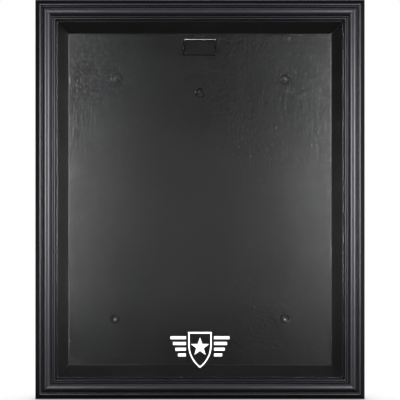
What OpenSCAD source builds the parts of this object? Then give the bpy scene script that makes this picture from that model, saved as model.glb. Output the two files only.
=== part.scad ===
// Wall-hung display case for a jersey: a moulded tray on the wall, closed by a hinged, glazed, mitred frame.
// +X is right, +Z is up and +Y goes into the wall. The wall is the plane Y = 0,
// and the origin lies on it, midway between the four wall screws.

/* [Case] */
// Outside width of the frame
frame_w = 880; // [730:1:1100]
// Outside height of the frame
frame_h = 1067; // [880:1:1300]
// Depth from the wall to the crest of the moulding
case_d = 89; // [74:1:120]
// Gap between the door's hinge leaves and the tray's when the door is shut
shut_gap = 0.3; // [0.2:0.05:0.6]

/* [Moulding] */
// Width of the moulding across its face
mould_w = 55; // [50:1:72]
// Thickness of the moulding from back to crest
mould_t = 32; // [28:1:40]
// Width of the sloping band along the outer edge
band_w = 9.8; // [6:0.1:14]
// How far the inner side of the band lies behind the crest
band_drop = 9; // [7:0.1:12]
// How far the band falls back from there to the outer edge
band_fall = 8; // [0:0.1:9]
// Radius of the rounded outer arris
arris_r = 2.5; // [1:0.1:5]
// Radius of the bead between the band and the swell
bead_r = 4.3; // [2:0.1:5.5]
// Width of the quirk on the inner side of that bead
quirk_w = 1.2; // [0.5:0.1:3]
// Width from the quirk to the crest of the swell
crest_w = 11.4; // [10:0.1:16]
// How far the inner foot of the swell lies behind the crest
swell_drop = 8.2; // [6:0.1:10]
// Radius of the small bead at the inner foot of the swell
foot_bead_r = 1.6; // [1:0.1:3]
// Width of the quirk between the two inner beads
sight_quirk_w = 1.2; // [0.5:0.1:3]
// Radius of the bead along the sight edge
sight_bead_r = 2.4; // [1.5:0.1:4]
// Chamfer between that bead and the sight edge
sight_chamfer = 0.8; // [0.4:0.1:1.5]
// Depth of the rabbet that holds the clear front
rabbet_d = 10; // [9:0.1:13]
// Width of the rabbet
rabbet_w = 7; // [5:0.1:9]

/* [Clear front] */
// Thickness of the clear sheet
sheet_t = 3; // [2:0.1:3.8]
// Gap between the edge of the sheet and the side of the rabbet
sheet_gap = 1; // [0.5:0.1:2]
// Thickness of the stops that hold the sheet
stop_t = 5; // [3:0.1:6]
// How far the stops stay behind the sight edge
stop_inset = 0.5; // [0.2:0.1:2]
// Radius of a stop brad
brad_r = 0.7; // [0.5:0.1:1.2]
// Length of a stop brad
brad_l = 18; // [14:1:24]
// Widest spacing of the stop brads
brad_pitch = 240; // [150:5:300]
// From the corner of the sight edge to where the row of brads starts
brad_end = 30; // [10:1:60]

/* [Emblem] */
// Width of the emblem
emblem_w = 158; // [100:1:200]
// Height of the emblem
emblem_h = 96; // [60:1:120]
// Height of the emblem's middle above the lower sight edge
emblem_rise = 76; // [66:1:150]
// Thickness of the emblem
emblem_t = 0.2; // [0.1:0.05:0.5]

/* [Mitre nails] */
// Length of one leg of a V nail
nail_leg = 5; // [3:0.5:7]
// Thickness of a V nail
nail_t = 0.8; // [0.5:0.1:1.2]
// Depth that a V nail is driven
nail_d = 9; // [6:0.5:12]
// From the outer edge of the frame to the point of the outer nails
nail_outer = 15; // [10:1:20]
// From the outer edge of the frame to the point of the inner nails
nail_inner = 35; // [25:1:38]

/* [Tray] */
// Wall thickness of the tray
wall_t = 3; // [2:0.1:4]
// How far the edge of the flange lies inside the edge of the frame
tray_inset = 7; // [7:0.5:12]
// Corner radius of the flange
flange_r = 6; // [4:0.5:12]
// Depth of the lip turned back along the edge of the flange
lip_d = 12; // [8:0.5:20]
// From the sight edge in to the mouth of the tray
mouth_margin = 3.5; // [3:0.5:12]
// Corner radius of the mouth
mouth_r = 4; // [3:0.5:15]
// Radius of the rolled rim around the mouth
rim_r = 3; // [2:0.1:3.4]
// From the mouth in to the edge of the floor
wall_run = 25; // [15:0.5:40]
// Height of the floor's front face above the wall
floor_z = 7; // [7:0.1:12]
// Radius of the fillet around the floor
floor_r = 3; // [2:0.5:8]
// Thickness of a stiffening rib
rib_t = 2.5; // [1.5:0.1:4]
// Number of upright ribs behind the floor
ribs_across = 4; // [2:1:6]
// Number of level ribs behind the floor
ribs_up = 5; // [2:1:7]
// Widest spacing of the webs behind the sloping walls
web_pitch = 200; // [120:5:300]
// How far a web runs out behind the flange
web_run = 30; // [15:1:36]
// How far a web reaches down the sloping wall
web_reach = 29; // [15:1:40]
// Depth of a web at its outer end
web_end = 6; // [3:0.5:9]

/* [Wall fixings] */
// Spacing of the wall screws across
fix_w = 460; // [300:1:560]
// Spacing of the wall screws up and down
fix_h = 650; // [450:1:680]
// Radius of a wall screw hole
fix_r = 2.75; // [2:0.05:4]
// Radius of the dish around a wall screw
dish_r = 13.4; // [11:0.1:18]
// Depth of the dish
dish_d = 4; // [2:0.1:4]
// Radius of the raised ring in the dish
ring_r = 6.5; // [5:0.1:8]
// Height of the raised ring
ring_h = 2.4; // [1:0.1:3]
// Chamfer of the raised ring
ring_chamfer = 0.8; // [0.4:0.1:1.5]
// Width of the slope between the bottom of the dish and its lip
dish_slope = 1.8; // [1:0.1:3]
// Radius of the dish's lip
dish_lip = 1.1; // [0.6:0.1:1.5]
// From the lower edge of the rod hook down to the single middle hole
mid_drop = 100; // [60:1:200]

/* [Rod hook] */
// Width of the window behind the hook
window_w = 90; // [70:1:120]
// Height of the window
window_h = 45; // [42:1:60]
// From the floor's upper edge down to the window
window_drop = 16.5; // [10:0.5:60]
// How far the tongue stands out from the floor
tongue_out = 22; // [20:0.5:30]
// Height of the tongue's foot above the lower edge of the window
tongue_rise = 2.4; // [0:0.1:5]
// Height of the tongue
tongue_h = 33; // [31:0.5:39]
// Width of the tongue near its top
tongue_w = 73; // [60:1:90]
// Corner radius of the tongue
tongue_r = 9; // [5:0.5:14]
// How far the foot of the tongue flares out on each side
tongue_flare = 3.7; // [0:0.1:6]
// Wall of the hook's shelf and cheeks
hook_wall = 2.5; // [2:0.1:4]
// Diameter of the rod that the hook carries
rod_d = 16; // [10:0.5:16]
// Clearance around the rod
rod_gap = 0.3; // [0.1:0.1:1]
// From the top of the tongue down to the top of the rod
rod_drop = 3; // [1:0.5:6]
// Gap between the rod's seat and the back of the tongue
rod_back = 1.5; // [0.5:0.1:3]

/* [Hinges] */
// Length of a hinge
hinge_l = 60; // [40:1:90]
// Width of a leaf from the pin's centre
leaf_w = 20; // [17:0.5:28]
// Thickness of a leaf
leaf_t = 1.2; // [0.8:0.1:1.5]
// Radius of the barrel
barrel_r = 2.6; // [2.2:0.1:2.8]
// Radius of the pin
pin_r = 1.3; // [1:0.05:1.6]
// Running clearance around the pin
pin_gap = 0.05; // [0.02:0.01:0.1]
// Gap between knuckles
knuckle_gap = 0.4; // [0.2:0.1:1]
// Radius of a pin's head
pin_head_r = 2.2; // [1.9:0.1:2.5]
// Thickness of a pin's head
pin_head_h = 1; // [0.5:0.1:2]
// Clearance around a leaf that is let into the stile
leaf_gap = 0.3; // [0.1:0.1:1]
// From the outer edge of the frame to the pin's centre
pin_inset = 3.5; // [3.2:0.1:4]
// From the end of the frame to the middle of the nearest hinge
hinge_end = 150; // [100:5:250]
// Radius of a screw's shank
screw_r = 1.5; // [1.2:0.1:2]
// Radius of a screw's head
screw_head_r = 2.7; // [2.3:0.1:3.2]
// Length of a screw
screw_l = 13; // [10:0.5:16]
// Length of a screw's pointed end
screw_tip = 3; // [2:0.5:4]
// From the middle of a hinge to its end screws
screw_reach = 21; // [14:0.5:24]

/* [Catches] */
// From the outer edge of the frame to the middle of a catch
catch_inset = 25; // [20:0.5:35]
// From the end of the frame to the nearest catch
catch_end = 300; // [150:5:350]
// Radius of the magnet's cup
cup_r = 8; // [6:0.1:10]
// Wall of the cup
cup_t = 1.3; // [0.8:0.1:2]
// Depth of the cup behind the face of the flange
cup_d = 6; // [4:0.1:8]
// Radius of the strike plate
strike_r = 9; // [6:0.1:11]
// Thickness of the strike plate
strike_t = 1.2; // [0.8:0.1:2]
// Radius of a door bumper
bumper_r = 5; // [3:0.5:7]
// From the end of the frame to the nearest bumper
bumper_end = 60; // [40:1:100]

/* [Hidden] */
$fn = 48;
hull_fn = 24;
overcut = 1;
knuckles = 5;
door_z = case_d - mould_t;
sheet_z = door_z + rabbet_d - sheet_t;
flange_z = door_z - shut_gap - leaf_t;
mouth_inset = mould_w + mouth_margin;
sight_w = frame_w - 2 * mould_w;
sight_h = frame_h - 2 * mould_w;
rabbet_u = mould_w - rabbet_w;
stop_u = mould_w - stop_inset;
mouth = [frame_w / 2 - mouth_inset, frame_h / 2 - mouth_inset];
floor_half = [mouth[0] - wall_run, mouth[1] - wall_run];
flange_half = [frame_w / 2 - tray_inset, frame_h / 2 - tray_inset];
window_top = floor_half[1] - window_drop;
window_low = window_top - window_h;
tongue_z = floor_z + tongue_out;
tongue_low = window_low + tongue_rise;
tongue_top = tongue_low + tongue_h;
tongue_foot = tongue_w / 2 + tongue_flare;
seat_r = rod_d / 2 + rod_gap;
seat_y = tongue_top - seat_r - rod_drop;
mid_y = window_low - mid_drop;
fix_points = [for (x = [-1, 1], y = [-1, 1]) [x * fix_w / 2, y * fix_h / 2]];
pin_x = -frame_w / 2 + pin_inset;
pin_z = door_z - shut_gap / 2;
plate_start = barrel_r + 0.6;
relief_r = barrel_r + 0.5;
leaf_screw_x = pin_x + leaf_w * 0.6;
hinge_y = [frame_h / 2 - hinge_end, 0, -frame_h / 2 + hinge_end];
catch_x = frame_w / 2 - catch_inset;
catch_y = [frame_h / 2 - catch_end, -frame_h / 2 + catch_end];
boss_wall = 2.5;
screw_boss_l = screw_l + 1.5;
cup_floor = 2;

// Points along an arc about c, from angle a to angle b.
function arc(c, r, a, b, n = 10) =
    [for (i = [0:n]) c + r * [cos(a + (b - a) * i / n), sin(a + (b - a) * i / n)]];

// Radius of the arc that leaves a crest level and falls h over a width w.
function crest_radius(w, h) = (w * w + h * h) / (2 * h);

// The case is drawn lying on its back, with X right, Y up the wall and Z out of it. This stands it up.
module upright() rotate([90, 0, 0]) children();

// A cylinder along Y, centred on its length.
module along_y(r, l) rotate([90, 0, 0]) cylinder(r = r, h = l, center = true);

// A rectangle with round corners, centred.
module round_rect(half, r) {
    square([2 * half[0], 2 * (half[1] - r)], center = true);
    square([2 * (half[0] - r), 2 * half[1]], center = true);
    for (x = [-1, 1], y = [-1, 1])
        translate([x * (half[0] - r), y * (half[1] - r)]) circle(r = r);
}

// The same thing at all four corners.
module four_corners()
    for (x = [0, 1], y = [0, 1]) mirror([x, 0, 0]) mirror([0, y, 0]) children();

// ---- Moulded frame ----

// Section of the moulding: X runs in from the outer edge, Y from the back to the crest.
module mould_section() {
    band_y = mould_t - band_drop;
    bead_x = band_w + bead_r;
    swell_x = bead_x + bead_r + quirk_w;
    crest_x = swell_x + crest_w;
    sight_bead_x = mould_w - sight_chamfer - sight_bead_r;
    foot_bead_x = sight_bead_x - sight_bead_r - sight_quirk_w - foot_bead_r;
    foot_y = mould_t - swell_drop;
    foot_sink = 0.2;
    sight_y = foot_y - foot_bead_r;
    outer_r = crest_radius(crest_w, band_drop);
    inner_w = foot_bead_x - foot_bead_r - crest_x;
    inner_r = crest_radius(inner_w, swell_drop);
    inner_turn = asin(inner_w / inner_r);
    polygon(concat(
        [[0, 0]],
        arc([arris_r, band_y - band_fall - arris_r], arris_r, 180, 90 + atan(band_fall / band_w), 6),
        arc([bead_x, band_y], bead_r, 180, 0, 16),
        arc([crest_x, mould_t - outer_r], outer_r, 90 + asin(crest_w / outer_r), 90, 16),
        arc([crest_x, mould_t - inner_r], inner_r, 90 - inner_turn / 16, 90 - inner_turn, 15),
        arc([foot_bead_x, foot_y - foot_sink], foot_bead_r, 170, 0, 8),
        arc([sight_bead_x, sight_y], sight_bead_r, 180, 0, 12),
        [[mould_w, sight_y - sight_chamfer], [mould_w, rabbet_d], [rabbet_u, rabbet_d], [rabbet_u, 0]]));
}

// One mitred length of moulding, its outer edge on the line X = -reach.
module mitred_rail(length, reach)
    translate([-reach, 0, door_z]) intersection() {
        rotate([90, 0, 0]) linear_extrude(length, center = true) mould_section();
        linear_extrude(mould_t + overcut) polygon([[0, -length / 2], [mould_w, mould_w - length / 2],
            [mould_w, length / 2 - mould_w], [0, length / 2]]);
    }

// A V nail across each mitre, near its outer end and near its inner end.
module nails()
    four_corners() for (u = [nail_outer, nail_inner])
        translate([-frame_w / 2 + u, frame_h / 2 - u, door_z]) {
            cube([nail_leg, nail_t, nail_d]);
            translate([0, nail_t - nail_leg, 0]) cube([nail_t, nail_leg, nail_d]);
        }

// Brads along one side, driven from the stop into the moulding, whose outer edge is X = -reach.
module side_brads(reach, span) {
    n = ceil(span / brad_pitch);
    for (i = [0:n - 1])
        translate([stop_u - reach, span * ((i + 0.5) / n - 0.5), sheet_z - stop_t / 2])
            rotate([0, -90, 0]) cylinder(r = brad_r, h = brad_l);
}

module brads() {
    for (turn = [0, 180]) rotate([0, 0, turn]) side_brads(frame_w / 2, sight_h - 2 * brad_end);
    for (turn = [-90, 90]) rotate([0, 0, turn]) side_brads(frame_h / 2, sight_w - 2 * brad_end);
}

module bare_rail(turn) {
    level = abs(turn) == 90;
    difference() {
        rotate([0, 0, turn]) mitred_rail(level ? frame_w : frame_h, level ? frame_h / 2 : frame_w / 2);
        nails();
        brads();
    }
}

module top_rail() color("#17171a") upright() bare_rail(-90);

module bottom_rail() color("#17171a") upright() bare_rail(90);

// The left stile is let in for the hinge leaves and cut away around the barrels.
module left_stile() color("#17171a") upright() difference() {
    bare_rail(0);
    for (y = hinge_y) translate([0, y, 0]) {
        relief_l = hinge_l + 2 * pin_head_h + 1;
        translate([pin_x, 0, pin_z]) along_y(relief_r, relief_l);
        translate([-frame_w / 2 - overcut, -relief_l / 2, door_z - overcut])
            cube([pin_inset + overcut, relief_l, pin_z + relief_r - door_z + overcut]);
        translate([pin_x, -hinge_l / 2 - leaf_gap, door_z - overcut])
            cube([leaf_w + leaf_gap, hinge_l + 2 * leaf_gap, leaf_t + overcut]);
    }
    leaf_screws(door_z, 1);
}

// The right stile takes the strike plates.
module right_stile() color("#17171a") upright() difference() {
    bare_rail(180);
    for (y = catch_y) translate([catch_x, y, door_z]) {
        translate([0, 0, -overcut]) cylinder(r = strike_r, h = strike_t + overcut);
        csk_screw(1);
    }
}

module mitre_nails() color("silver") upright() nails();

// ---- Clear front ----

module clear_front() color("#dfe8ec", 0.3) upright()
    translate([0, 0, sheet_z]) linear_extrude(sheet_t)
        square([sight_w + 2 * (rabbet_w - sheet_gap), sight_h + 2 * (rabbet_w - sheet_gap)], center = true);

// A plain shield with a star, between stripes that shorten downwards.
module emblem_decal() color("white") upright()
    translate([0, -sight_h / 2 + emblem_rise, sheet_z + sheet_t]) linear_extrude(emblem_t) {
        shield_w = emblem_w * 0.4;
        line_w = 4;
        start = shield_w / 2 + 1.5 * line_w;
        difference() {
            shield(shield_w, emblem_h);
            shield(shield_w - 2 * line_w, emblem_h - 2.25 * line_w);
        }
        translate([0, emblem_h * 0.08]) star(emblem_h * 0.27);
        for (side = [-1, 1], i = [0:3]) {
            stripe_w = (emblem_w / 2 - start) * (1 - 0.16 * i);
            translate([side * (start + stripe_w / 2), emblem_h * (0.34 - 0.16 * i)])
                square([stripe_w, 2 * line_w], center = true);
        }
    }

// A heater shield, centred on its height: straight above, two arcs meeting in a point below.
module shield(w, h) {
    top = h / 2;
    drop = h * 0.65;
    shoulder = top - h + drop;
    r = (w * w / 4 + drop * drop) / w;
    bend = asin(drop / r);
    polygon(concat([[-w / 2, top], [w / 2, top]],
        arc([w / 2 - r, shoulder], r, 0, -bend, 10),
        arc([r - w / 2, shoulder], r, 180 + bend, 180, 10)));
}

module star(r)
    polygon([for (i = [0:9]) (i % 2 == 0 ? r : r * 0.4) * [sin(36 * i), cos(36 * i)]]);

// A stop along one side, behind the edge of the sheet.
module stop_bar(turn, reach, length) difference() {
    rotate([0, 0, turn]) translate([rabbet_u - reach, -length / 2, sheet_z - stop_t])
        cube([stop_u - rabbet_u, length, stop_t]);
    brads();
}

module top_stop() color("#222222") upright() stop_bar(-90, frame_h / 2, frame_w - 2 * stop_u);

module bottom_stop() color("#222222") upright() stop_bar(90, frame_h / 2, frame_w - 2 * stop_u);

module left_stop() color("#222222") upright() stop_bar(0, frame_w / 2, frame_h - 2 * rabbet_u);

module right_stop() color("#222222") upright() stop_bar(180, frame_w / 2, frame_h - 2 * rabbet_u);

module stop_brads() color("silver") upright() brads();

// ---- Tray ----

// A tapered box with round corners. grow moves its faces out and front is how far it reaches.
module taper(grow, front) hull() four_corners() {
    translate([mouth[0] - mouth_r, mouth[1] - mouth_r, flange_z - 1])
        cylinder(r = mouth_r + grow, h = front - flange_z + 1, $fn = hull_fn);
    translate([floor_half[0] - floor_r, floor_half[1] - floor_r, floor_z + floor_r])
        sphere(r = floor_r + grow, $fn = hull_fn);
}

// The rolled rim around the mouth of the tray.
module rim() translate([0, 0, flange_z - 1]) {
    run = [mouth[0] - mouth_r, mouth[1] - mouth_r];
    for (side = [-1, 1]) {
        translate([side * (mouth[0] + rim_r), 0, 0]) along_y(rim_r, 2 * run[1]);
        translate([0, side * (mouth[1] + rim_r), 0]) rotate([0, 0, 90]) along_y(rim_r, 2 * run[0]);
    }
    four_corners() translate(run) rotate_extrude(angle = 90)
        translate([mouth_r + rim_r, 0]) circle(r = rim_r);
}

module flange_plate() {
    translate([0, 0, flange_z - wall_t]) linear_extrude(wall_t) round_rect(flange_half, flange_r);
    translate([0, 0, flange_z - lip_d]) linear_extrude(lip_d) difference() {
        round_rect(flange_half, flange_r);
        round_rect([flange_half[0] - wall_t, flange_half[1] - wall_t], flange_r - wall_t);
    }
}

// Upright and level ribs behind the floor, reaching the wall.
module floor_ribs() {
    rib_h = floor_z - 1;
    edge = [floor_half[0] - floor_r, floor_half[1] - floor_r];
    for (i = [0:ribs_across - 1])
        translate([edge[0] * (2 * (i + 0.5) / ribs_across - 1), 0, rib_h / 2])
            cube([rib_t, 2 * edge[1], rib_h], center = true);
    for (i = [0:ribs_up - 1])
        translate([0, edge[1] * (2 * (i + 0.5) / ribs_up - 1), rib_h / 2])
            cube([2 * edge[0], rib_t, rib_h], center = true);
}

// Webs between the flange and the sloping walls, on the side whose mouth lies at reach.
module side_webs(reach, span) {
    n = ceil(span / web_pitch);
    top = flange_z - wall_t / 2;
    foot = [wall_run * web_reach / (flange_z - floor_z) - reach - wall_t / 2, flange_z - web_reach];
    for (i = [0:n - 1])
        translate([0, span * ((i + 0.5) / n - 0.5), 0]) rotate([90, 0, 0])
            linear_extrude(rib_t, center = true)
                polygon([[-reach - web_run, top], [-reach - web_run, top - web_end], foot, [-reach, top]]);
}

module webs() {
    for (turn = [0, 180]) rotate([0, 0, turn]) side_webs(mouth[0], 2 * (mouth[1] - web_run));
    for (turn = [-90, 90]) rotate([0, 0, turn]) side_webs(mouth[1], 2 * (mouth[0] - web_run));
}

// What a wall fixing adds behind the floor, and what it takes away in front.
module fixing_pad() cylinder(r = dish_r + 1, h = floor_z - 1);

module fixing_dish() {
    low = floor_z - dish_d;
    ring_top = low + ring_h;
    lip_x = dish_r - dish_lip;
    rotate_extrude() polygon(concat(
        [[fix_r, -overcut], [fix_r, ring_top], [ring_r - ring_chamfer, ring_top],
            [ring_r, ring_top - ring_chamfer], [ring_r, low], [lip_x - dish_slope, low]],
        arc([dish_r, floor_z - dish_lip], dish_lip, 180, 90, 4),
        [[dish_r, floor_z + overcut], [0, floor_z + overcut], [0, -overcut]]));
}

// The tongue of the rod hook, its shelf and its two cheeks, which flare back to the floor.
module hook() {
    edge = 1;
    translate([0, 0, tongue_z]) linear_extrude(wall_t) tongue_face();
    hull() {
        translate([-tongue_foot, tongue_low, tongue_z]) cube([2 * tongue_foot, hook_wall, wall_t]);
        translate([-window_w / 2, window_low, floor_z - wall_t]) cube([window_w, hook_wall, wall_t]);
    }
    for (side = [0, 1]) mirror([side, 0, 0]) difference() {
        hull() {
            translate([tongue_foot - hook_wall, tongue_low, tongue_z]) cube([hook_wall, edge, wall_t]);
            translate([tongue_w / 2 - hook_wall, tongue_top - tongue_r - edge, tongue_z])
                cube([hook_wall, edge, wall_t]);
            translate([window_w / 2 - hook_wall, window_low, floor_z - wall_t])
                cube([hook_wall, window_h, wall_t]);
        }
        rod_channel();
    }
}

module tongue_face() {
    half = tongue_w / 2;
    corner_y = tongue_top - tongue_r;
    polygon(concat([[-tongue_foot, tongue_low]],
        arc([tongue_r - half, corner_y], tongue_r, 180, 90, 8),
        arc([half - tongue_r, corner_y], tongue_r, 90, 0, 8),
        [[tongue_foot, tongue_low]]));
}

// The way in for the rod, open above and at both ends.
module rod_channel() {
    z = tongue_z - seat_r - rod_back;
    way = window_w + 2 * overcut;
    translate([0, seat_y, z]) rotate([0, 90, 0]) cylinder(r = seat_r, h = way, center = true);
    translate([-way / 2, seat_y, z - seat_r]) cube([way, window_h, 2 * seat_r]);
}

module screw_boss(depth) translate([0, 0, flange_z - depth]) cylinder(r = screw_r + boss_wall, h = depth - 1);

module cup_boss()
    translate([0, 0, flange_z - cup_d - cup_floor])
        cylinder(r = cup_r + boss_wall, h = cup_d + cup_floor - 1);

module back_tray() color("#26282a") upright() {
    difference() {
        union() {
            taper(wall_t, flange_z);
            rim();
            flange_plate();
            floor_ribs();
            webs();
            for (p = concat(fix_points, [[0, mid_y]])) translate(p) fixing_pad();
            for (y = hinge_y, s = [-1, 0, 1])
                translate([leaf_screw_x, y + s * screw_reach, 0]) screw_boss(screw_boss_l);
            for (y = catch_y) translate([catch_x, y, 0]) cup_boss();
        }
        taper(0, case_d);
        for (p = concat(fix_points, [[0, mid_y]])) translate(p) fixing_dish();
        translate([hook_wall - window_w / 2, window_low + hook_wall, -overcut])
            cube([window_w - 2 * hook_wall, window_h - hook_wall, floor_z + 2 * overcut]);
        leaf_screws(flange_z + leaf_t, -1);
        for (y = catch_y) translate([catch_x, y, flange_z - cup_d]) cylinder(r = cup_r, h = cup_d + overcut);
    }
    hook();
}

// ---- Hinges ----

// A countersunk screw whose head lies flush at the origin, driven along +Z (way 1) or -Z (way -1).
module csk_screw(way) mirror([0, 0, way == 1 ? 0 : 1]) {
    head_h = screw_head_r - screw_r;
    cylinder(r1 = screw_head_r, r2 = screw_r, h = head_h);
    cylinder(r = screw_r, h = screw_l - screw_tip);
    translate([0, 0, screw_l - screw_tip]) cylinder(r1 = screw_r, r2 = 0.3, h = screw_tip);
}

module leaf_screws(z, way)
    for (y = hinge_y, s = [-1, 0, 1]) translate([leaf_screw_x, y + s * screw_reach, z]) csk_screw(way);

// A leaf with its knuckles. first is its lowest knuckle, and z is its plate's lower face.
module leaf(y, z, first, way) difference() {
    pitch = hinge_l / knuckles;
    knuckle_l = pitch - knuckle_gap;
    union() {
        translate([pin_x + plate_start, y - hinge_l / 2, z]) cube([leaf_w - plate_start, hinge_l, leaf_t]);
        for (k = [first:2:knuckles - 1]) translate([pin_x, y + pitch * (k + 0.5) - hinge_l / 2, 0]) {
            translate([0, 0, pin_z]) along_y(barrel_r, knuckle_l);
            translate([0, -knuckle_l / 2, z]) cube([plate_start + 1, knuckle_l, leaf_t]);
        }
    }
    translate([pin_x, y, pin_z]) along_y(pin_r + pin_gap, hinge_l + 2 * overcut);
    leaf_screws(z + (way == 1 ? 0 : leaf_t), way);
}

module case_leaf(i) color("#4a4a4c") upright() leaf(hinge_y[i], flange_z, 0, -1);

module door_leaf(i) color("#4a4a4c") upright() leaf(hinge_y[i], door_z, 1, 1);

// A pin with a head at each end, which closes on the outer knuckles.
module hinge_pin(i) color("#5a5a5c") upright() translate([pin_x, hinge_y[i], pin_z]) {
    end = hinge_l / 2 - knuckle_gap / 2;
    along_y(pin_r, 2 * end + 1);
    for (side = [-1, 1]) translate([0, side * (end + pin_head_h / 2), 0]) along_y(pin_head_r, pin_head_h);
}

module upper_hinge_case_leaf() case_leaf(0);

module middle_hinge_case_leaf() case_leaf(1);

module lower_hinge_case_leaf() case_leaf(2);

module upper_hinge_door_leaf() door_leaf(0);

module middle_hinge_door_leaf() door_leaf(1);

module lower_hinge_door_leaf() door_leaf(2);

module upper_hinge_pin() hinge_pin(0);

module middle_hinge_pin() hinge_pin(1);

module lower_hinge_pin() hinge_pin(2);

module case_hinge_screws() color("#8a8a8c") upright() leaf_screws(flange_z + leaf_t, -1);

module door_hinge_screws() color("#8a8a8c") upright() leaf_screws(door_z, 1);

// ---- Catches ----

module magnet_cup(i) color("#9a9a9c") upright() translate([catch_x, catch_y[i], flange_z - cup_d]) {
    difference() {
        cylinder(r = cup_r, h = cup_d + leaf_t);
        translate([0, 0, cup_t]) cylinder(r = cup_r - cup_t, h = cup_d + overcut + leaf_t);
    }
}

module catch_magnet(i) color("#3c3c3e") upright()
    translate([catch_x, catch_y[i], flange_z - cup_d + cup_t])
        cylinder(r = cup_r - cup_t, h = cup_d + leaf_t - cup_t);

module strike_plate(i) color("#b0b0b2") upright() translate([catch_x, catch_y[i], door_z]) difference() {
    cylinder(r = strike_r, h = strike_t);
    csk_screw(1);
}

module upper_magnet_cup() magnet_cup(0);

module lower_magnet_cup() magnet_cup(1);

module upper_catch_magnet() catch_magnet(0);

module lower_catch_magnet() catch_magnet(1);

module upper_strike_plate() strike_plate(0);

module lower_strike_plate() strike_plate(1);

module strike_screws() color("#8a8a8c") upright()
    for (y = catch_y) translate([catch_x, y, door_z]) csk_screw(1);

module door_bumpers() color("#101010") upright() four_corners()
    translate([catch_x, frame_h / 2 - bumper_end, flange_z]) cylinder(r = bumper_r, h = leaf_t);

back_tray();
top_rail();
bottom_rail();
left_stile();
right_stile();
mitre_nails();
clear_front();
emblem_decal();
top_stop();
bottom_stop();
left_stop();
right_stop();
stop_brads();
upper_hinge_case_leaf();
middle_hinge_case_leaf();
lower_hinge_case_leaf();
upper_hinge_door_leaf();
middle_hinge_door_leaf();
lower_hinge_door_leaf();
upper_hinge_pin();
middle_hinge_pin();
lower_hinge_pin();
case_hinge_screws();
door_hinge_screws();
upper_magnet_cup();
lower_magnet_cup();
upper_catch_magnet();
lower_catch_magnet();
upper_strike_plate();
lower_strike_plate();
strike_screws();
door_bumpers();
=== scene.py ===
"""Looks of a wall display case for a jersey: a grained black tray behind a hinged, black lacquered frame."""

import math

import bpy
from mathutils import Matrix, Vector


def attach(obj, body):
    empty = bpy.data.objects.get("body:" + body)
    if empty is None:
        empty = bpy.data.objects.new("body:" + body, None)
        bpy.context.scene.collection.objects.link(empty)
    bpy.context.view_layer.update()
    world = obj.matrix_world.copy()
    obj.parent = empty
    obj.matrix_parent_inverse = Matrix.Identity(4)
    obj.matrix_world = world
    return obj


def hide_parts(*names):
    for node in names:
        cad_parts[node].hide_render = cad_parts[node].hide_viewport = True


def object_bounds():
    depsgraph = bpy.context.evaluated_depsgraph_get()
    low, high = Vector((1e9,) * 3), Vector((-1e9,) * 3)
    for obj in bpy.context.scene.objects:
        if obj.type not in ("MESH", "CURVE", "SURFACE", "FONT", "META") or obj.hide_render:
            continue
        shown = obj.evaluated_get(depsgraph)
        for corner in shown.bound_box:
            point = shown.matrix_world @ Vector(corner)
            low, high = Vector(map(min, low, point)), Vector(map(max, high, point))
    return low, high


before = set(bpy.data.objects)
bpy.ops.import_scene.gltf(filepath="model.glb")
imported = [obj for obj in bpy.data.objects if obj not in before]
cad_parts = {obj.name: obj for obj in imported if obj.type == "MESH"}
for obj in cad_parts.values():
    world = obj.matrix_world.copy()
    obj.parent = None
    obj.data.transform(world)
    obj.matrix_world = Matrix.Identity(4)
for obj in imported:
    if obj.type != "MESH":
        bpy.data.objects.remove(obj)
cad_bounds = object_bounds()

MM = 0.001
LOW, HIGH = (Vector(corner) for corner in cad_bounds)
HEIGHT = HIGH.z - LOW.z
CASE_BODY, DOOR_BODY = "case", "door"
HINGES = ("upper", "middle", "lower")
CATCHES = ("upper", "lower")
SIDES = ("top", "bottom", "left", "right")

# The stretch of the tray that holds the rod hook's tongue: how far to each side, and from where to where up.
HOOK_REACH = 50 * MM
HOOK_LOW, HOOK_HIGH = 360 * MM, 440 * MM

# How bright a room the case mirrors besides the lamps: low down in front, and above or behind.
ROOM_LOW = 0.26
ROOM_HIGH = 0.015
# The point that every lamp faces, in the middle of the case.
AIM = Vector((0, -50 * MM, 0))


# ---- Materials ----


def linear(hex_colour):
    """An sRGB hex colour as linear RGBA."""
    def channel(c):
        return c / 12.92 if c <= 0.04045 else ((c + 0.055) / 1.055) ** 2.4
    return (*(channel(int(hex_colour[i:i + 2], 16) / 255) for i in (1, 3, 5)), 1.0)


def add(tree, kind, values=None, links=None, **settings):
    """Adds a node with its settings, its sockets' values, and its links as socket: (node, output)."""
    made = tree.nodes.new(kind)
    for name, value in settings.items():
        setattr(made, name, value)
    for name, value in (values or {}).items():
        made.inputs[name].default_value = value
    for name, (source, output) in (links or {}).items():
        tree.links.new(source.outputs[output], made.inputs[name])
    return made


def new_material(name):
    """A material and its node tree, which is empty."""
    material = bpy.data.materials.new(name)
    material.use_nodes = True
    material.node_tree.nodes.clear()
    return material, material.node_tree


def per_mm(pitch):
    """The scale of a pattern whose cells are pitch millimetres across."""
    return 1.0 / (pitch * MM)


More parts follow.
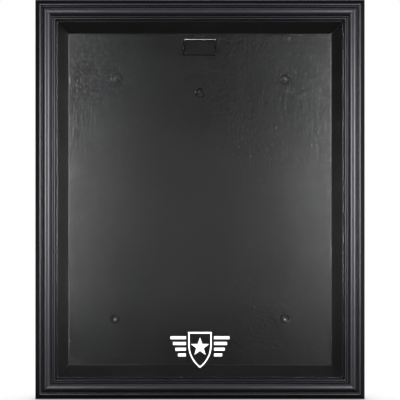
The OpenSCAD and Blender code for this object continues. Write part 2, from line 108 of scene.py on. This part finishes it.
def lacquered_pine(name, along):
    """Pine moulding sprayed with satin black lacquer: a soft sheen that shows the grain as faint lines."""
    material, tree = new_material(name)
    place = add(tree, "ShaderNodeTexCoord")
    # The lines of the grain are over 30 times as long as they are wide.
    lengthwise = [0.03 if axis == along else 1 for axis in "xyz"]
    stretch = add(tree, "ShaderNodeMapping", {"Scale": lengthwise}, {"Vector": (place, "Object")})
    # Growth rings are about 1.5 mm apart.
    grain = add(tree, "ShaderNodeTexNoise", {"Scale": per_mm(1.5), "Detail": 3.0, "Roughness": 0.6},
                {"Vector": (stretch, "Vector")})
    # Orange peel from the spray gun is 3 to 4 mm across.
    peel = add(tree, "ShaderNodeTexNoise", {"Scale": per_mm(3.5), "Detail": 1.0},
               {"Vector": (place, "Object")})
    # Hands and cloths leave the sheen slightly uneven, over patches as wide as a hand.
    handling = add(tree, "ShaderNodeTexNoise", {"Scale": per_mm(110), "Detail": 4.0},
                   {"Vector": (place, "Object")})
    rough = add(tree, "ShaderNodeMapRange", {"To Min": 0.36, "To Max": 0.42},
                {"Value": (handling, "Fac")})
    grain_relief = add(tree, "ShaderNodeBump", {"Strength": 0.01, "Distance": 0.1 * MM},
                       {"Height": (grain, "Fac")})
    relief = add(tree, "ShaderNodeBump", {"Strength": 0.012, "Distance": 0.2 * MM},
                 {"Height": (peel, "Fac"), "Normal": (grain_relief, "Normal")})
    # The tint gives the sheen of the lacquer its faint blue.
    shader = add(tree, "ShaderNodeBsdfPrincipled",
                 {"Base Color": linear("#08080c"), "IOR": 1.42, "Specular Tint": linear("#f7f6ff"),
                  "Coat Weight": 0.2, "Coat Roughness": 0.25},
                 {"Roughness": (rough, "Result"), "Normal": (relief, "Normal")})
    add(tree, "ShaderNodeOutputMaterial", links={"Surface": (shader, "BSDF")})
    return material


def grained_abs():
    """Black ABS moulded in a textured tool: pebble grain on the floor, and smoother walls, hook and back."""
    material, tree = new_material("moulded_abs_pebble_grain")
    place = add(tree, "ShaderNodeTexCoord")
    # A real pebble is about 1.5 mm across, too fine to show, so it is drawn at 6 mm and made uneven.
    pebbles = add(tree, "ShaderNodeTexVoronoi", {"Scale": per_mm(6), "Smoothness": 0.6},
                  {"Vector": (place, "Object")}, feature="SMOOTH_F1")
    uneven = add(tree, "ShaderNodeTexNoise", {"Scale": per_mm(5), "Detail": 2.0},
                 {"Vector": (place, "Object")})
    grain = add(tree, "ShaderNodeMath", links={0: (pebbles, "Distance"), 1: (uneven, "Fac")},
                operation="ADD")
    # The floor is what faces the room within 8 mm of the wall. The grain is gone by 12 mm but for a trace.
    depth = add(tree, "ShaderNodeSeparateXYZ", links={"Vector": (place, "Object")})
    facing = add(tree, "ShaderNodeSeparateXYZ", links={"Vector": (place, "Normal")})
    front = add(tree, "ShaderNodeMapRange", {"From Min": -0.6, "From Max": -0.9},
                {"Value": (facing, "Y")})
    low = add(tree, "ShaderNodeMapRange", {"From Min": -12 * MM, "From Max": -8 * MM},
              {"Value": (depth, "Y")})
    on_floor = add(tree, "ShaderNodeMath", links={0: (front, "Result"), 1: (low, "Result")},
                   operation="MULTIPLY")
    share = add(tree, "ShaderNodeMapRange", {"To Min": 0.08, "To Max": 1.0}, {"Value": (on_floor, "Value")})
    height = add(tree, "ShaderNodeMath", links={0: (grain, "Value"), 1: (share, "Result")},
                 operation="MULTIPLY")
    pebble_relief = add(tree, "ShaderNodeBump", {"Strength": 1.0, "Distance": 0.5 * MM},
                        {"Height": (height, "Value")})
    # The etch of the tool between the pebbles is too fine to show, so it is drawn at 1.6 mm.
    etch = add(tree, "ShaderNodeTexNoise", {"Scale": per_mm(1.6), "Detail": 2.0},
               {"Vector": (place, "Object")})
    relief = add(tree, "ShaderNodeBump", {"Strength": 0.12, "Distance": 0.2 * MM},
                 {"Height": (etch, "Fac"), "Normal": (pebble_relief, "Normal")})
    # What faces the room is glossier, and all of it is a little duller where it was rubbed.
    rubbed = add(tree, "ShaderNodeTexNoise", {"Scale": per_mm(160), "Detail": 5.0},
                 {"Vector": (place, "Object")})
    gloss = add(tree, "ShaderNodeMapRange", {"To Min": 0.38, "To Max": 0.19}, {"Value": (front, "Result")})
    rough = add(tree, "ShaderNodeMath", {1: 0.06}, {0: (rubbed, "Fac"), 2: (gloss, "Result")},
                operation="MULTIPLY_ADD")
    shader = add(tree, "ShaderNodeBsdfPrincipled", {"Base Color": linear("#0a0a0b"), "IOR": 1.53},
                 {"Roughness": (rough, "Value"), "Normal": (relief, "Normal")})
    add(tree, "ShaderNodeOutputMaterial", links={"Surface": (shader, "BSDF")})
    return material


def cast_acrylic():
    """Clear cast acrylic, polished: nearly invisible from in front, with a faint mirror of the room."""
    material, tree = new_material("cast_acrylic_clear")
    surface = add(tree, "ShaderNodeBsdfPrincipled",
                  {"Base Color": linear("#fbfdfd"), "IOR": 1.49, "Roughness": 0.0,
                   "Transmission Weight": 1.0})
    # Light that is on its way to or from the tray goes straight through, less what the two faces turn back.
    open_way = add(tree, "ShaderNodeBsdfTransparent", {"Color": linear("#fbfbfb")})
    ray = add(tree, "ShaderNodeLightPath")
    for kind in ("Is Shadow Ray", "Is Glossy Ray", "Is Diffuse Ray"):
        surface = add(tree, "ShaderNodeMixShader",
                      links={0: (ray, kind), 1: (surface, 0), 2: (open_way, 0)})
    add(tree, "ShaderNodeOutputMaterial", links={"Surface": (surface, "Shader")})
    return material


def finish(name, colour, roughness, pitch, relief, metallic=0.0):
    """A plain finish, mottled over cells of pitch millimetres that stand up by relief millimetres."""
    mottle = 0.05
    material, tree = new_material(name)
    place = add(tree, "ShaderNodeTexCoord")
    cloud = add(tree, "ShaderNodeTexNoise", {"Scale": per_mm(pitch), "Detail": 3.0},
                {"Vector": (place, "Object")})
    rough = add(tree, "ShaderNodeMapRange", {"To Min": roughness - mottle, "To Max": roughness + mottle},
                {"Value": (cloud, "Fac")})
    bump = add(tree, "ShaderNodeBump", {"Strength": 0.5, "Distance": relief * MM},
               {"Height": (cloud, "Fac")})
    shader = add(tree, "ShaderNodeBsdfPrincipled", {"Base Color": linear(colour), "Metallic": metallic},
                 {"Roughness": (rough, "Result"), "Normal": (bump, "Normal")})
    add(tree, "ShaderNodeOutputMaterial", links={"Surface": (shader, "BSDF")})
    return material


# ---- Pieces ----


def select_only(piece):
    """Selects one object, which becomes the active one."""
    bpy.ops.object.select_all(action="DESELECT")
    piece.select_set(True)
    bpy.context.view_layer.objects.active = piece


def sewn_copy(node, name):
    """A copy of a CAD node's mesh, with its loose triangles joined and the flat ones merged."""
    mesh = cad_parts[node].data.copy()
    mesh.name = name
    mesh.materials.clear()
    piece = bpy.data.objects.new(name, mesh)
    bpy.context.scene.collection.objects.link(piece)
    select_only(piece)
    bpy.ops.object.mode_set(mode="EDIT")
    bpy.ops.mesh.select_all(action="SELECT")
    bpy.ops.mesh.remove_doubles(threshold=0.002 * MM)
    bpy.ops.mesh.dissolve_limited(angle_limit=math.radians(0.3))
    bpy.ops.object.mode_set(mode="OBJECT")
    return piece


def apply_modifier(piece, kind, **settings):
    """Adds one modifier to a piece and applies it."""
    select_only(piece)
    modifier = piece.modifiers.new(kind.lower(), kind)
    for name, value in settings.items():
        setattr(modifier, name, value)
    bpy.ops.object.modifier_apply(modifier=modifier.name)


def shade(piece, angle=35):
    """Smooth over curves and flat on flats, with edges sharper than angle kept."""
    select_only(piece)
    bpy.ops.object.shade_smooth_by_angle(angle=math.radians(angle))
    apply_modifier(piece, "WEIGHTED_NORMAL", keep_sharp=True, weight=100)


def eased(piece, width, angle=40):
    """Rounds the piece's edges that are sharper than angle, by width millimetres."""
    apply_modifier(piece, "BEVEL", width=width * MM, segments=2, limit_method="ANGLE",
                   angle_limit=math.radians(angle), use_clamp_overlap=True)


def place_piece(piece, body, material, slot, *nodes):
    """Gives a finished piece its material, and puts it on a body in place of CAD nodes. The slot argument is
    not used.
    """
    piece.data.materials.clear()
    piece.data.materials.append(material)
    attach(piece, body)
    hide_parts(*nodes)


def remade(node, name, body, material, slot, ease):
    """Puts a CAD node's shape, sewn up, with eased edges and smooth curves, in place of the node."""
    piece = sewn_copy(node, name)
    eased(piece, ease)
    shade(piece)
    place_piece(piece, body, material, slot, node)


def on_hook(point):
    """Whether a point of the tray is in the stretch that holds the rod hook's tongue."""
    return abs(point.x) < HOOK_REACH and HOOK_LOW < point.z < HOOK_HIGH


def tray():
    """The tray, with a wider round along the front edge of its rod hook's tongue than elsewhere."""
    level = 0.05 * MM
    tongue_round = 1.8 * MM
    piece = sewn_copy("back_tray", "tray_shell")
    tray_mesh = piece.data
    face_y = min(vertex.co.y for vertex in tray_mesh.vertices if on_hook(vertex.co))
    bpy.ops.object.mode_set(mode="EDIT")
    bpy.ops.mesh.select_mode(type="EDGE")
    bpy.ops.mesh.select_all(action="DESELECT")
    bpy.ops.object.mode_set(mode="OBJECT")
    for edge in tray_mesh.edges:
        ends = [tray_mesh.vertices[i].co for i in edge.vertices]
        edge.select = all(on_hook(end) and end.y < face_y + level for end in ends)
    bpy.ops.object.mode_set(mode="EDIT")
    bpy.ops.mesh.bevel(offset=tongue_round, segments=4, clamp_overlap=True)
    bpy.ops.object.mode_set(mode="OBJECT")
    eased(piece, 0.7, angle=30)
    shade(piece, 30)
    place_piece(piece, CASE_BODY, grained_abs(), "tray_plastic", "back_tray")


def solids_of(node):
    """The corners of the box around each separate solid of a CAD node."""
    sewn_copy(node, "solids")
    bpy.ops.object.mode_set(mode="EDIT")
    bpy.ops.mesh.select_all(action="SELECT")
    bpy.ops.mesh.separate(type="LOOSE")
    bpy.ops.object.mode_set(mode="OBJECT")
    boxes = []
    for solid in list(bpy.context.selected_objects):
        points = [v.co for v in solid.data.vertices]
        boxes.append((Vector(map(min, zip(*points))), Vector(map(max, zip(*points)))))
        bpy.data.objects.remove(solid)
    return sorted(boxes, key=lambda box: (box[0].z, box[0].x))


def countersunk_screw(head_r, length):
    """A countersunk wood screw with a cross recess, its head level with the origin and its point along +Y."""
    shank_r = head_r * 0.55
    head_h = head_r - shank_r
    tip_h = 3 * MM
    # The shank is drawn out straight and then narrowed to a blunt tip.
    draws = ((length - head_h - tip_h, 1.0), (tip_h, 0.15))
    bpy.ops.object.select_all(action="DESELECT")
    bpy.ops.mesh.primitive_cone_add(vertices=32, radius1=head_r, radius2=shank_r, depth=head_h,
                                    location=(0, 0, head_h / 2))
    screw = bpy.context.object
    for reach, share in draws:
        bpy.ops.object.mode_set(mode="EDIT")
        bpy.ops.mesh.select_mode(type="FACE")
        bpy.ops.mesh.select_all(action="DESELECT")
        bpy.ops.object.mode_set(mode="OBJECT")
        top = max(screw.data.polygons, key=lambda face: face.center.z)
        top.select = True
        bpy.ops.object.mode_set(mode="EDIT")
        bpy.ops.mesh.extrude_region_move(TRANSFORM_OT_translate={"value": (0, 0, reach)})
        bpy.ops.transform.resize(value=(share, share, 1))
        bpy.ops.object.mode_set(mode="OBJECT")
    eased(screw, 0.15, angle=60)
    for turn in (0, 90):
        cutter = cross_cutter(head_r, turn)
        apply_modifier(screw, "BOOLEAN", operation="DIFFERENCE", solver="EXACT", object=cutter)
        bpy.data.objects.remove(cutter)
    shade(screw, 40)
    screw.data.transform(Matrix.Rotation(math.radians(-90), 4, "X"))
    return screw


def cross_cutter(head_r, turn):
    """One wing of a cross recess: a slot that narrows as it goes in."""
    depth = head_r * 0.55
    mouth_r, bottom_r = head_r * 0.75, head_r * 0.2
    thinness = 0.27
    bpy.ops.object.select_all(action="DESELECT")
    bpy.ops.mesh.primitive_cone_add(vertices=4, radius1=mouth_r, radius2=bottom_r, depth=2 * depth)
    wing = bpy.context.object
    bpy.ops.object.mode_set(mode="EDIT")
    bpy.ops.mesh.select_all(action="SELECT")
    bpy.ops.transform.resize(value=(1, thinness, 1))
    bpy.ops.object.mode_set(mode="OBJECT")
    wing.data.transform(Matrix.Rotation(math.radians(turn), 4, "Z"))
    return wing


def screws(node, name, body, slot, material, point):
    """Puts a screw where each of a node's solids is. Its point is to the wall (+1) or to the room (-1)."""
    boxes = solids_of(node)
    low, high = boxes[0]
    pattern = countersunk_screw((high.x - low.x) / 2, high.y - low.y)
    for number, (low, high) in enumerate(boxes, 1):
        mesh = pattern.data.copy()
        if point < 0:
            mesh.transform(Matrix.Rotation(math.pi, 4, "Z"))
        head_y = low.y if point > 0 else high.y
        mesh.transform(Matrix.Translation(((low.x + high.x) / 2, head_y, (low.z + high.z) / 2)))
        piece = bpy.data.objects.new(f"{name}_{number}", mesh)
        bpy.context.scene.collection.objects.link(piece)
        place_piece(piece, body, material, slot, node)
    bpy.data.objects.remove(pattern)


def paint(material, *nodes):
    """Gives CAD nodes whose shape is kept their finish."""
    for node in nodes:
        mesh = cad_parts[node].data
        mesh.materials.clear()
        mesh.materials.append(material)


# ---- Stage ----


def camera():
    """Level with the middle of the case and square to it, where the case just fills the height."""
    distance = 3.1
    margin = 1.0018
    drop = 1.5 * MM
    # The outline of the case is the outer edge of the frame, this far behind the crest of its moulding.
    outline = 19 * MM
    seen = HEIGHT * margin * distance / (distance + outline)
    data = bpy.data.cameras.new("camera")
    data.sensor_width = 36.0
    data.lens = data.sensor_width * distance / seen
    data.clip_end = 50
    eye = bpy.data.objects.new("camera", data)
    bpy.context.scene.collection.objects.link(eye)
    eye.location = (0, LOW.y - distance, -drop)
    eye.rotation_euler = (math.radians(90), 0, 0)
    bpy.context.scene.camera = eye


def by_camera(tree, seen, otherwise):
    """One shader to the camera, and another to the light that bounces around."""
    ray = add(tree, "ShaderNodeLightPath")
    return add(tree, "ShaderNodeMixShader",
               links={0: (ray, "Is Camera Ray"), 1: (otherwise, 0), 2: (seen, 0)})


def floor():
    """A plain white floor that glows to the camera, with a soft shadow painted into that glow where the case
    stands over it.
    """
    gap = 1 * MM
    bpy.ops.object.select_all(action="DESELECT")
    bpy.ops.mesh.primitive_plane_add(size=40, location=(0, 0, LOW.z - gap))
    ground = bpy.context.object
    ground.name = "floor"
    material, tree = new_material("white_floor")
    # Ambient occlusion darkens the floor's glow near the case: a painted contact shadow.
    near = add(tree, "ShaderNodeAmbientOcclusion", {"Distance": 0.12}, samples=8)
    painted_shadow_tone = add(tree, "ShaderNodeMapRange",
               {"From Min": 0.4, "From Max": 0.95, "To Min": 0.45, "To Max": 1.0}, {"Value": (near, "AO")})
    seen = add(tree, "ShaderNodeEmission", links={"Color": (painted_shadow_tone, "Result")})
    # To the light that bounces, the floor is a painted glow, dark below the case and as bright as the room at
    # 3.5 m; the case mirrors it.
    place = add(tree, "ShaderNodeTexCoord")
    away = add(tree, "ShaderNodeVectorMath", links={0: (place, "Object")}, operation="LENGTH")
    painted_floor_glow = add(tree, "ShaderNodeMapRange",
               {"From Min": 0.3, "From Max": 3.5, "To Min": ROOM_HIGH, "To Max": ROOM_LOW},
               {"Value": (away, "Value")})
    mirrored = add(tree, "ShaderNodeEmission", links={"Strength": (painted_floor_glow, "Result")})
    surface = by_camera(tree, seen, mirrored)
    add(tree, "ShaderNodeOutputMaterial", links={"Surface": (surface, "Shader")})
    ground.data.materials.append(material)


def surroundings():
    """White all round as seen, and a dim room to everything that the case reflects."""
    world = bpy.data.worlds.new("studio")
    bpy.context.scene.world = world
    world.use_nodes = True
    tree = world.node_tree
    tree.nodes.clear()
    white = linear("#ffffff")
    seen = add(tree, "ShaderNodeBackground", {"Color": white, "Strength": 1.0})
    # The room falls dark within a few degrees above the level of the case, and behind it.
    way = add(tree, "ShaderNodeTexCoord")
    part = add(tree, "ShaderNodeSeparateXYZ", links={"Vector": (way, "Generated")})
    climb = add(tree, "ShaderNodeMath", links={0: (part, "Z"), 1: (part, "Y")}, operation="MAXIMUM")
    fall = add(tree, "ShaderNodeMapRange",
               {"From Min": 0.0, "From Max": 0.1, "To Min": ROOM_LOW, "To Max": ROOM_HIGH},
               {"Value": (climb, "Value")}, interpolation_type="SMOOTHSTEP")
    mirrored = add(tree, "ShaderNodeBackground", {"Color": white}, {"Strength": (fall, "Result")})
    surface = by_camera(tree, seen, mirrored)
    add(tree, "ShaderNodeOutputWorld", links={"Surface": (surface, "Shader")})


def lamp(name, place, width, height, watts):
    """A soft box at place that faces the case."""
    data = bpy.data.lights.new(name, "AREA")
    data.shape = "RECTANGLE"
    data.size, data.size_y = width, height
    data.energy = watts
    box = bpy.data.objects.new(name, data)
    bpy.context.scene.collection.objects.link(box)
    box.location = place
    box.rotation_euler = (AIM - Vector(place)).to_track_quat("-Z", "Y").to_euler()


# ---- The scene ----


camera()
floor()
surroundings()
bpy.context.scene.view_settings.view_transform = "Standard"

# The two front boxes light the sides of the tray's floor and the crests of the stiles.
lamp("left_front_box", (-1.2, -2.1, 0.15), width=0.8, height=1.0, watts=58)
lamp("right_front_box", (1.2, -2.1, 0.15), width=0.8, height=1.0, watts=68)
lamp("right_side_box", (2.0, -0.8, 0.2), width=0.5, height=1.2, watts=8)
lamp("top_box", (0, -1.4, 2.1), width=1.6, height=0.5, watts=9)
# The case hides this one from the front. It lights the back of the tray.
lamp("rear_box", (0, 2.2, 0), width=0.8, height=0.8, watts=40)

level_pine = lacquered_pine("lacquered_pine_rails", along="x")
upright_pine = lacquered_pine("lacquered_pine_stiles", along="z")
for rail in ("top_rail", "bottom_rail"):
    remade(rail, rail + "_moulding", DOOR_BODY, level_pine, "lacquered_wood", ease=0.25)
for stile in ("left_stile", "right_stile"):
    remade(stile, stile + "_moulding", DOOR_BODY, upright_pine, "lacquered_wood", ease=0.25)

tray()
remade("clear_front", "acrylic_sheet", DOOR_BODY, cast_acrylic(), "clear_acrylic", ease=0.4)
# Screen-printed ink: flat white, with the faint weave of the screen.
print_ink = finish("screen_print_white", "#f4f4f2", roughness=0.4, pitch=0.6, relief=0.01)
paint(print_ink, "emblem_decal")

# Extruded vinyl: an even, waxy black.
black_vinyl = finish("extruded_vinyl_black", "#141414", roughness=0.45, pitch=2.0, relief=0.05)
for side in SIDES:
    remade(side + "_stop", side + "_stop_strip", DOOR_BODY, black_vinyl, "stop_plastic", ease=0.4)

# Electrocoated steel: a thin black paint, smooth but not glossy.
black_steel = finish("e_coated_steel", "#161618", roughness=0.36, pitch=0.8, relief=0.03)
for place in HINGES:
    remade(f"{place}_hinge_case_leaf", f"{place}_case_leaf_plate", CASE_BODY, black_steel, "hinge_steel",
           ease=0.2)
    remade(f"{place}_hinge_door_leaf", f"{place}_door_leaf_plate", DOOR_BODY, black_steel, "hinge_steel",
           ease=0.2)
    remade(f"{place}_hinge_pin", f"{place}_pin", CASE_BODY, black_steel, "hinge_steel", ease=0.25)

# Bright zinc plate: a bluish grey metal, slightly dull.
zinc = finish("zinc_plated_steel", "#b9bac0", roughness=0.28, pitch=1.0, relief=0.02, metallic=1.0)
# Nickel plate: a warmer and glossier metal than zinc.
nickel = finish("nickel_plated_steel", "#c8c3b8", roughness=0.2, pitch=2.0, relief=0.01, metallic=1.0)
# Nickel plate on a sintered magnet: darker and duller than on steel.
dark_nickel = finish("nickel_plated_magnet", "#8f8c86", roughness=0.26, pitch=1.5, relief=0.01,
                     metallic=1.0)
for place in CATCHES:
    remade(f"{place}_magnet_cup", f"{place}_cup", CASE_BODY, nickel, "nickel_plate", ease=0.2)
    remade(f"{place}_catch_magnet", f"{place}_magnet", CASE_BODY, dark_nickel, "magnet_nickel", ease=0.15)
    remade(f"{place}_strike_plate", f"{place}_strike", DOOR_BODY, zinc, "zinc_steel", ease=0.25)

# Moulded rubber: dull black, with hardly any sheen.
rubber = finish("moulded_rubber", "#121212", roughness=0.75, pitch=1.2, relief=0.05)
remade("door_bumpers", "bumper_pads", CASE_BODY, rubber, "bumper_rubber", ease=0.5)

screws("case_hinge_screws", "case_hinge_screw", CASE_BODY, "screw_steel", zinc, point=1)
screws("door_hinge_screws", "door_hinge_screw", DOOR_BODY, "screw_steel", zinc, point=-1)
screws("strike_screws", "strike_screw", DOOR_BODY, "screw_steel", zinc, point=-1)
paint(zinc, "mitre_nails", "stop_brads")
